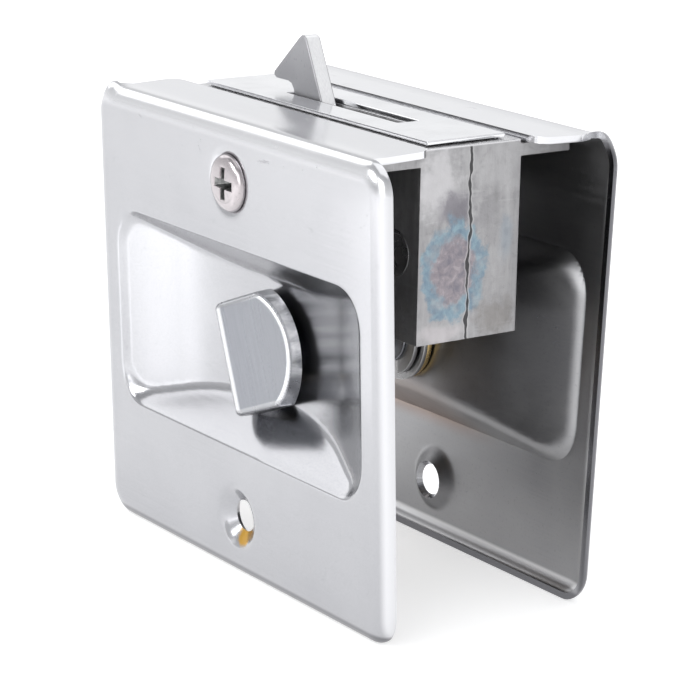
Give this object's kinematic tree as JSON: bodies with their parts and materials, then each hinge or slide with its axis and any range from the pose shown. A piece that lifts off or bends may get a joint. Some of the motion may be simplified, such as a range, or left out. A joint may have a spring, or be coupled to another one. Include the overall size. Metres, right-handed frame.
{
  "type": "sliding door privacy lock",
  "caption": "Pocket-door privacy lock: dished cover plates on a T-section casting, a thumb turn and a slotted release that swing a hook bolt out through the face plate.",
  "frame": {"origin": "under the middle of the lock, level with the cover plates' lower edges", "axes": "+Z out of the door's edge, the way the hook bolt throws; +Y from the thumb turn side to the release side; +X along the face plate"},
  "size_m": [0.07, 0.0402, 0.0721],
  "materials": {
    "satin_steel": "satin-finished pressed steel sheet",
    "die_cast_zinc": "raw die-cast zinc, mottled",
    "polished_steel": "polished plated steel",
    "bright_steel": "bright zinc-plated steel",
    "satin_chrome": "satin chrome-plated casting",
    "chrome": "bright chrome",
    "brass": "turned brass"
  },
  "bodies": {
    "lock_case": {"front_plate": "satin_steel", "rear_plate": "satin_steel", "front_case": "die_cast_zinc", "rear_case": "die_cast_zinc", "case_rivets": "bright_steel", "face_plate": "polished_steel", "hook_pivot_pin": "bright_steel", "front_bush": "brass", "rear_bush": "brass", "front_washer": "bright_steel", "rear_washer": "bright_steel", "detent_spring": "bright_steel", "front_plate_screw": "chrome", "rear_plate_screw": "chrome"},
    "turn": {"drive_hub": "brass", "crank_pin": "bright_steel", "hub_roll_pin": "bright_steel", "spindle": "bright_steel", "thumb_turn": "satin_chrome", "release_button": "satin_chrome", "front_clip": "bright_steel", "rear_clip": "bright_steel"},
    "hook": {"hook_bolt": "polished_steel", "hook_link_pin": "bright_steel"},
    "link": {"link_bar": "bright_steel"}
  },
  "joints": [
    {"name": "thumb_turn", "type": "hinge", "parent": "lock_case", "child": "turn", "pos_m": [0, 0, 0.0312], "axis": [0, 1, 0], "range_deg": [0, 105], "deforming": ["detent_spring"]},
    {"name": "hook_swing", "type": "hinge", "parent": "lock_case", "child": "hook", "pos_m": [-0.0049, 0, 0.054], "axis": [0, 1, 0], "range_deg": [0, 105]},
    {"name": "link_swing", "type": "hinge", "parent": "turn", "child": "link", "pos_m": [-0.003, 0, 0.02488], "axis": [0, 1, 0], "range_deg": [-105, 0]}
  ],
  "couplings": [
    {"joint": "hook_swing", "follows": "thumb_turn", "ratio": 1},
    {"joint": "link_swing", "follows": "thumb_turn", "ratio": -1}
  ]
}
